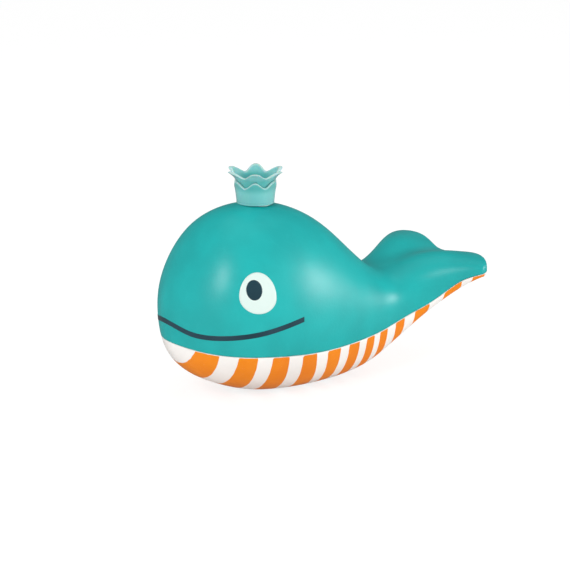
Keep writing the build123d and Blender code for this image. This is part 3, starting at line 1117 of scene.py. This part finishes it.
@dataclass
class Face:
    """The printed eyes and mouth."""

    form: WhaleForm
    finishes: Finishes
    eye_at: Pair = (-54.5, 59.6)
    eye_half_width: float = 9.4
    eye_rise: float = 12.2
    eye_drop: float = 8.1
    tilt: float = -8.0
    pupil_at: Pair = (-56.2, 63.4)
    pupil_half: Pair = (4.0, 4.95)
    pupil_lift: float = 1.9
    mouth: BodyLine = field(default_factory=lambda: BodyLine((
        (-94.0, 46.6), (-87.6, 42.9), (-83.0, 40.0), (-76.0, 39.2), (-63.5, 40.0), (-52.0, 41.3),
        (-39.6, 43.7), (-29.6, 46.0))))
    mouth_pivot: float = -30.0
    mouth_reach: float = 75.0
    mouth_overrun: float = 4.0
    mouth_half: float = 1.3
    mouth_profile: Pairs = (
        (-1.0, 0.0), (-1.0, 0.6), (-0.9, 0.95), (-0.5, 1.0), (0.0, 1.0), (0.5, 1.0), (0.9, 0.95), (1.0, 0.6),
        (1.0, 0.0))
    ink_height: float = 0.12
    ink_root: float = -0.3
    edge_fall: float = 0.35

    def build(self) -> None:
        """Builds both eyes and the mouth."""
        for side in Side:
            word = side.name.lower()
            egg = (self.eye_half_width, self.eye_rise, self.eye_drop)
            white = self._patch(f"{word}_eye_print", side, self.eye_at, egg, 1.0)
            self._tie(white, EYE_PRINT, "white_ink", f"{word}_eye_white")
            width, height = self.pupil_half
            oval = (width, height, height)
            pupil = self._patch(f"{word}_pupil_print", side, self.pupil_at, oval, self.pupil_lift)
            self._tie(pupil, DARK_PRINT, "dark_ink", f"{word}_pupil")
        self._tie(self._mouth_band(), DARK_PRINT, "dark_ink", "mouth_line")

    def _patch(
        self, name: str, side: Side, centre: Pair, half: tuple[float, float, float], lift: float,
    ) -> bpy.types.Object:
        """A film of ink on the cheek inside an egg outline.

        Args:
            name: the piece's name.
            side: which cheek.
            centre: x and z of the outline's centre.
            half: half width, rise and drop of the outline.
            lift: height over the skin, in films.

        Returns:
            The piece.
        """
        rings, spokes = 14, 72
        tilt = math.radians(self.tilt)
        rows = []
        for ring in range(rings + 2):
            share = min(ring, rings) / rings
            angle = np.linspace(0, 2 * np.pi, spokes, endpoint=False)
            u = half[0] * share * np.cos(angle)
            tall = np.where(np.sin(angle) > 0, half[1], half[2])
            v = tall * share * np.sin(angle)
            x = centre[0] + u * math.cos(tilt) - v * math.sin(tilt)
            z = centre[1] + u * math.sin(tilt) + v * math.cos(tilt)
            film = self.ink_height * lift * (1 - self.edge_fall * share**16)
            height = self.ink_root if ring > rings else film
            rows.append(self.form.lifted(self.form.beside(x, z, side.value), height))
        return mesh_object(name, np.concatenate(rows) * MM, grid_faces(len(rows), spokes, wrap=True))

    def _mouth_band(self) -> bpy.types.Object:
        """The line of the mouth, followed round the head from one cheek to the other.

        Returns:
            The piece.
        """
        corner, turn_count, halvings = 0.003, 241, 40
        turns = np.linspace(-np.pi / 2 + corner, np.pi / 2 - corner, turn_count)
        rows = []
        for share, lift in self.mouth_profile:
            near, far = np.zeros_like(turns), np.full_like(turns, self.mouth_reach)
            for _ in range(halvings):
                reach = (near + far) / 2
                outside = self.form.inside(self._on_ray(turns, reach, share)) > 1
                far = np.where(outside, reach, far)
                near = np.where(outside, near, reach)
            height = self.ink_height * lift if lift > 0 else self.ink_root
            rows.append(self.form.lifted(self._on_ray(turns, far, share), height))
        return mesh_object("mouth_print", np.concatenate(rows) * MM, grid_faces(len(rows), turn_count))

    def _on_ray(self, turns: np.ndarray, reach: np.ndarray, share: float) -> np.ndarray:
        """Points away from the mouth's pivot, at the mouth's height there.

        Args:
            turns: directions in plan, 0 to the nose.
            reach: distances from the pivot.
            share: place across the line, -1 to 1.

        Returns:
            The points.
        """
        x = np.maximum(self.mouth_pivot - reach * np.cos(turns), self.form.nose_x - self.mouth_overrun)
        y = reach * np.sin(turns)
        return np.stack([x, y, self.mouth.at(x) + share * self.mouth_half], axis=-1)

    def _tie(self, piece: bpy.types.Object, finish: Finish, slot: str, node: str) -> None:
        """Dresses a print and ties it to the back.

        Args:
            piece: the print.
            finish: its finish.
            slot: not used.
            node: the node that it replaces.
        """
        piece.data.materials.append(self.finishes.get(finish))
        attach(piece, "back")
        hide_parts(node)
        log.info("face piece %s", piece.name)


@dataclass
class Crown:
    """The lift-out spout: a flared cup in a short collar, with the stem below."""

    finishes: Finishes
    x: float = -34.7
    foot_z: float = 98.78
    peaks: int = 6
    spokes: int = 192
    cup_line: Pairs = (
        (8.1, 0.0), (8.45, 4.0), (9.0, 8.0), (9.7, 11.0), (10.4, 12.5), (12.1, 14.6), (14.1, 16.2),
        (16.8, 17.6), (18.6, 18.3))
    cup_wall: float = 1.2
    cup_rim: Pair = (16.1, 1.5)
    collar_line: Pairs = ((9.8, 1.35), (10.1, 4.0), (10.7, 8.0), (11.4, 11.0), (12.0, 13.0))
    collar_rim: Pair = (10.75, 1.5)
    collar_gap: float = 0.3
    rim_round: float = 0.45
    foot: Pair = (9.8, 1.3)
    foot_lower_edge: float = 0.25
    foot_upper_edge: float = 0.2
    floor_height: float = 1.6
    stem: Pair = (4.45, 9.5)
    stem_edge: float = 0.5
    groove: tuple[float, float, float] = (2.95, 4.2, 5.8)
    channel: float = 1.5
    orifice: float = 0.8
    # How far below the rim the painted highlight fades out, in millimetres.
    rim_depth: float = 1.1
    # Heights over the foot where the painted shade band eases in, is full, eases out and ends.
    painted_shade_band: tuple[float, float, float, float] = (5.5, 9.5, 12.5, 15.0)
    crease_angle: float = 40.0

    @staticmethod
    def _line(points: Pairs) -> np.ndarray:
        """A smooth profile through radius and height points, read by height."""
        flipped = BodyLine(tuple((z, r) for r, z in points))
        return flipped.samples[:, ::-1]

    def _rim_height(self, rim: Pair, angle: np.ndarray) -> np.ndarray:
        """The scalloped rim's height at each angle."""
        return rim[0] + rim[1] * np.cos(self.peaks * angle)

    def _angles(self) -> np.ndarray:
        """The angle of each spoke."""
        return np.linspace(0, 2 * np.pi, self.spokes, endpoint=False)

    def _wall(
        self, outer: np.ndarray, inner: np.ndarray, start: float, inner_start: float, rim: Pair,
    ) -> np.ndarray:
        """A wall from its foot over a rounded rim and down the inside.

        Args:
            outer: outer profile samples, radius and height.
            inner: inner profile samples.
            start: height where the outside begins.
            inner_start: height where the inside ends.
            rim: middle height and swing of its rim.

        Returns:
            Rows of radius and height, rows by spokes by 2.
        """
        steps, turn = 30, 8
        rows = []
        tops = self._rim_height(rim, self._angles()) - self.rim_round
        outer_r = np.interp(tops, outer[:, 1], outer[:, 0])
        inner_r = np.interp(tops, inner[:, 1], inner[:, 0])
        for share in np.linspace(0, 1, steps):
            z = start + (tops - start) * share
            rows.append(np.stack([np.interp(z, outer[:, 1], outer[:, 0]), z], axis=-1))
        centre, half = (outer_r + inner_r) / 2, (outer_r - inner_r) / 2
        for phase in np.linspace(0, np.pi, turn + 2)[1:-1]:
            radius, height = centre + half * np.cos(phase), tops + self.rim_round * np.sin(phase)
            rows.append(np.stack([radius, height], axis=-1))
        for share in np.linspace(1, 0, steps):
            z = inner_start + (tops - inner_start) * share
            rows.append(np.stack([np.interp(z, inner[:, 1], inner[:, 0]), z], axis=-1))
        return np.array(rows)

    def _lathe(self, name: str, rows: np.ndarray) -> bpy.types.Object:
        """Turns rows of radius and height about the crown's axis, the last joined to the first.

        Args:
            name: the piece's name.
            rows: rows by spokes by 2.

        Returns:
            The piece.
        """
        angle = self._angles()
        radius, height = rows[..., 0], rows[..., 1]
        points = np.stack(
            [self.x + radius * np.cos(angle), radius * np.sin(angle), self.foot_z + height], axis=-1)
        points = np.concatenate([points, points[:1]])
        piece = mesh_object(name, points.reshape(-1, 3) * MM, grid_faces(len(points), self.spokes, wrap=True))
        crease(piece, self.crease_angle)
        return piece

    def _mark_painted_light(self, piece: bpy.types.Object, rim: Pair) -> None:
        """Writes on each point how near it is to its rim, for the painted highlight there, and its share of
        the painted shade band where cup and collar stand together.

        Args:
            piece: the cup or the collar.
            rim: middle height and swing of its rim.
        """
        points = points_of(piece)
        height = points[:, 2] - self.foot_z
        under = self._rim_height(rim, np.arctan2(points[:, 1], points[:, 0] - self.x)) - height
        # Painted highlight, full at the rim.
        write_values(piece, "rim", np.clip(1.0 - under / self.rim_depth, 0, 1))
        # Painted shade band, by height over the foot.
        start, full, end, gone = self.painted_shade_band
        write_values(piece, "painted_shade_band", eased(height, start, full) * (1.0 - eased(height, end, gone)))

    def _plain(self, corners: Pairs) -> np.ndarray:
        """Rows that are round all the way, from radius and height corners."""
        return np.array([np.tile(corner, (self.spokes, 1)) for corner in corners])

    def build(self) -> None:
        """Builds the cup with its stem, and the collar."""
        outer = self._line(self.cup_line)
        slope = np.gradient(outer, axis=0)
        slope /= np.linalg.norm(slope, axis=1, keepdims=True)
        inner = outer + self.cup_wall * np.stack([-slope[:, 1], slope[:, 0]], axis=1)
        foot_r, foot_top = self.foot
        wall = self._wall(outer, inner, foot_top, self.floor_height, self.cup_rim)
        stem_r, stem_end = self.stem
        groove_r, groove_top, groove_end = self.groove
        under = self._plain((
            (self.channel, -stem_end), (stem_r - self.stem_edge, -stem_end),
            (stem_r, -stem_end + self.stem_edge), (stem_r, -groove_end), (groove_r, -groove_end),
            (groove_r, -groove_top), (stem_r, -groove_top), (stem_r, 0.0),
            (foot_r - self.foot_lower_edge, 0.0), (foot_r, self.foot_lower_edge),
            (foot_r, foot_top - self.foot_upper_edge), (foot_r - self.foot_upper_edge, foot_top)))
        inside = self._plain(((self.orifice, self.floor_height), (self.orifice, 0.0), (self.channel, 0.0)))
        cup = self._lathe("crown_cup_moulding", np.concatenate([under, wall, inside]))
        self._mark_painted_light(cup, self.cup_rim)
        self._tie(cup, "crown_cup")
        clear = outer + np.array([self.collar_gap, 0.0])
        start = self.collar_line[0][1]
        rows = self._wall(self._line(self.collar_line), clear, start, start, self.collar_rim)
        collar = self._lathe("crown_collar_moulding", rows)
        self._mark_painted_light(collar, self.collar_rim)
        self._tie(collar, "crown_collar")

    def _tie(self, piece: bpy.types.Object, node: str) -> None:
        """Dresses a crown piece and ties it to the crown.

        Args:
            piece: the piece.
            node: the node that it replaces.
        """
        piece.data.materials.append(self.finishes.get(CROWN_PLASTIC))
        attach(piece, "crown")
        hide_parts(node)
        log.info("crown piece %s", piece.name)


@dataclass
class WaterPath:
    """The hidden sleeve, tube and seal, kept from the frame with finishes of their own."""

    frame: dict
    finishes: Finishes

    def dress(self) -> None:
        """Gives each kept node its finish."""
        kept = {"neck_sleeve": SLEEVE_PLASTIC, "dip_tube": TUBE_PLASTIC, "crown_seal": SEAL_RUBBER}
        for node, finish in kept.items():
            piece = self.frame["nodes"][node]
            piece.data.materials.clear()
            piece.data.materials.append(self.finishes.get(finish))
            for polygon in piece.data.polygons:
                polygon.use_smooth = True
            log.info("water path piece %s", node)


@dataclass(frozen=True)
class Lamp:
    """One soft square light: where it hangs, its side and its power in watts."""

    name: str
    place: tuple[float, float, float]
    side: float
    power: float


@dataclass
class Studio:
    """The pale floor, the soft lights and the camera."""

    aim: tuple[float, float, float] = (-0.0171, 0.0, 0.0523)
    azimuth: float = -30.0
    elevation: float = 15.0
    distance: float = 1.0
    lens: float = 120.0
    sensor: float = 36.0
    clip_end: float = 20.0
    lamps: tuple[Lamp, ...] = (
        Lamp("left", (-0.94, -0.59, 0.67), 0.40, 6.0),
        Lamp("right", (0.93, -0.74, 0.29), 0.36, 6.0),
        Lamp("top", (0.1, 0.15, 1.3), 1.1, 1.2))
    floor_reach: float = 6.0
    ambient: float = 0.69
    horizon_gloss: float = 0.16
    ceiling_gloss: float = 0.03
    ceiling_from: float = 0.05
    ceiling_full: float = 0.6
    floor_glow: float = 0.72
    glow_strength: float = 1.12
    floor_gloss: float = 0.18

    def build(self) -> None:
        """Builds the floor, the surroundings, the lights and the camera."""
        self._floor()
        self._surroundings()
        for lamp in self.lamps:
            self._hang(lamp)
        self._camera()
        log.info("studio")

    def _floor(self) -> None:
        """Lays the floor, white to the camera and to what the crown refracts, and dimmer for gloss."""
        turns = ((-1, -1, 0), (1, -1, 0), (1, 1, 0), (-1, 1, 0))
        floor = mesh_object("floor", self.floor_reach * np.array(turns), [(0, 1, 2, 3)])
        material = bpy.data.materials.new("floor_paper")
        g = Graph.fresh(material)
        output = g.add("ShaderNodeOutputMaterial")
        paper = g.add("ShaderNodeBsdfDiffuse")
        paper.inputs["Color"].default_value = (*Tint.FLOOR.value, 1)
        glow = g.add("ShaderNodeEmission")
        blend = g.add("ShaderNodeMixShader")
        rays = g.add("ShaderNodeLightPath")
        seen = g.maths("MAXIMUM", rays.outputs["Is Camera Ray"], rays.outputs["Is Transmission Ray"])
        glossy = rays.outputs["Is Glossy Ray"]
        g.join(g.maths("MULTIPLY_ADD", seen, self.floor_glow, glossy, clamp=True), blend.inputs["Fac"])
        change = self.floor_gloss - self.glow_strength
        g.join(g.maths("MULTIPLY_ADD", glossy, change, self.glow_strength), glow.inputs["Strength"])
        g.join(paper.outputs["BSDF"], blend.inputs[1])
        g.join(glow.outputs["Emission"], blend.inputs[2])
        g.join(blend.outputs["Shader"], output.inputs["Surface"])
        floor.data.materials.append(material)

    def _surroundings(self) -> None:
        """White surroundings, full where the camera or glass sees them, and darker overhead for gloss."""
        world = bpy.data.worlds.new("studio")
        bpy.context.scene.world = world
        g = Graph.fresh(world)
        output = g.add("ShaderNodeOutputWorld")
        sky = g.add("ShaderNodeBackground")
        rays = g.add("ShaderNodeLightPath")
        seen = g.maths("MAXIMUM", rays.outputs["Is Camera Ray"], rays.outputs["Is Transmission Ray"])
        up = g.add("ShaderNodeSeparateXYZ")
        g.join(g.add("ShaderNodeTexCoord").outputs["Generated"], up.inputs[0])
        overhead = g.between(up.outputs["Z"], self.ceiling_from, self.ceiling_full)
        gloss = g.maths("MULTIPLY_ADD", overhead, self.ceiling_gloss - self.horizon_gloss, self.horizon_gloss)
        glossy = rays.outputs["Is Glossy Ray"]
        plain = g.maths("MULTIPLY_ADD", seen, 1.0 - self.ambient, self.ambient)
        change = g.maths("MULTIPLY", g.maths("SUBTRACT", gloss, plain), glossy)
        g.join(g.maths("ADD", plain, change), sky.inputs["Strength"])
        sky.inputs["Color"].default_value = (1, 1, 1, 1)
        g.join(sky.outputs["Background"], output.inputs["Surface"])

    @staticmethod
    def _place(name: str, data: bpy.types.ID, place: Vector, way: Vector) -> bpy.types.Object:
        """Stands a lamp or a camera in the scene.

        Args:
            name: its name.
            data: the lamp or the camera.
            place: where it stands, in metres.
            way: the way that it looks.

        Returns:
            The linked object.
        """
        thing = bpy.data.objects.new(name, data)
        thing.matrix_world = Matrix.Translation(place) @ way.to_track_quat("-Z", "Y").to_matrix().to_4x4()
        bpy.context.scene.collection.objects.link(thing)
        return thing

    def _hang(self, lamp: Lamp) -> None:
        """Hangs a lamp that faces the whale.

        Args:
            lamp: the lamp.
        """
        data = bpy.data.lights.new(lamp.name, "AREA")
        data.shape = "SQUARE"
        data.size = lamp.side
        data.energy = lamp.power
        place = Vector(lamp.place)
        self._place(lamp.name, data, place, Vector(self.aim) - place)

    def _camera(self) -> None:
        """Sets the camera at the photograph's angle."""
        data = bpy.data.cameras.new("camera")
        data.lens = self.lens
        data.sensor_width = self.sensor
        data.clip_end = self.clip_end
        turn, tilt = math.radians(self.azimuth), math.radians(self.elevation)
        away = Vector((math.sin(turn) * math.cos(tilt), -math.cos(turn) * math.cos(tilt), math.sin(tilt)))
        bpy.context.scene.camera = self._place(
            "camera", data, Vector(self.aim) + away * self.distance, -away)


def main() -> None:
    """Builds the whale over its frame, then the studio round it."""
    logging.basicConfig(level=logging.INFO, format="%(name)s: %(message)s")
    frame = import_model()
    bpy.context.scene.view_settings.view_transform = "Standard"
    finishes = Finishes()
    form = WhaleForm()
    body = Body(form, finishes)
    body.build()
    body.dress()
    Face(form, finishes).build()
    Crown(finishes).build()
    WaterPath(frame, finishes).dress()
    Studio().build()


if __name__ == "__main__":
    main()
